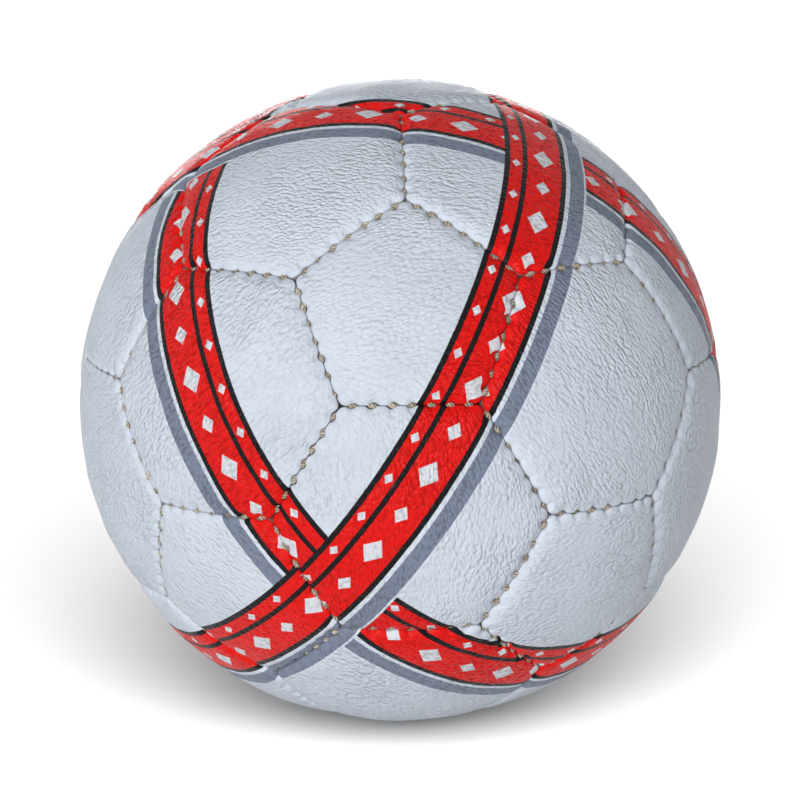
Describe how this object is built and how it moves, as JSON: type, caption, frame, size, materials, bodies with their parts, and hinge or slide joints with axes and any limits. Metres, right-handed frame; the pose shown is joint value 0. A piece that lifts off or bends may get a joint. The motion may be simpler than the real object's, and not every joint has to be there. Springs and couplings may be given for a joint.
{
  "type": "handball",
  "caption": "Round hand-sewn handball of pentagon and hexagon panels over woven linings and an inflated rubber bladder with a needle valve, for throwing, catching and bouncing.",
  "frame": {"origin": "centre of the ball", "axes": "+Z out through the middle of the top pentagon panel, -Y towards the front, where a pentagon panel of the upper ring faces up and forwards; the valve is at the back, in the hexagon panel facing +Y"},
  "size_m": [0.1874, 0.1878, 0.188],
  "materials": {
    "panel": "satin",
    "lining": "matte",
    "thread": "matte",
    "bladder": "satin",
    "valve": "matte",
    "core": "satin"
  },
  "bodies": {
    "root": {"top_pentagon_panel": "panel", "bottom_pentagon_panel": "panel", "valve_hexagon_panel": "panel", "upper_pentagon_panel_1": "panel", "upper_pentagon_panel_2": "panel", "upper_pentagon_panel_3": "panel", "upper_pentagon_panel_4": "panel", "upper_pentagon_panel_5": "panel", "lower_pentagon_panel_1": "panel", "lower_pentagon_panel_2": "panel", "lower_pentagon_panel_3": "panel", "lower_pentagon_panel_4": "panel", "lower_pentagon_panel_5": "panel", "top_hexagon_panel_1": "panel", "top_hexagon_panel_2": "panel", "top_hexagon_panel_3": "panel", "top_hexagon_panel_4": "panel", "top_hexagon_panel_5": "panel", "upper_hexagon_panel_1": "panel", "upper_hexagon_panel_2": "panel", "upper_hexagon_panel_3": "panel", "upper_hexagon_panel_4": "panel", "lower_hexagon_panel_1": "panel", "lower_hexagon_panel_2": "panel", "lower_hexagon_panel_3": "panel", "lower_hexagon_panel_4": "panel", "lower_hexagon_panel_5": "panel", "bottom_hexagon_panel_1": "panel", "bottom_hexagon_panel_2": "panel", "bottom_hexagon_panel_3": "panel", "bottom_hexagon_panel_4": "panel", "bottom_hexagon_panel_5": "panel", "pentagon_linings": "lining", "hexagon_linings": "lining", "valve_hexagon_lining": "lining", "pentagon_seam_threads": "thread", "hexagon_seam_threads": "thread", "bladder": "bladder", "valve_body": "valve", "valve_core": "core"}
  },
  "joints": []
}
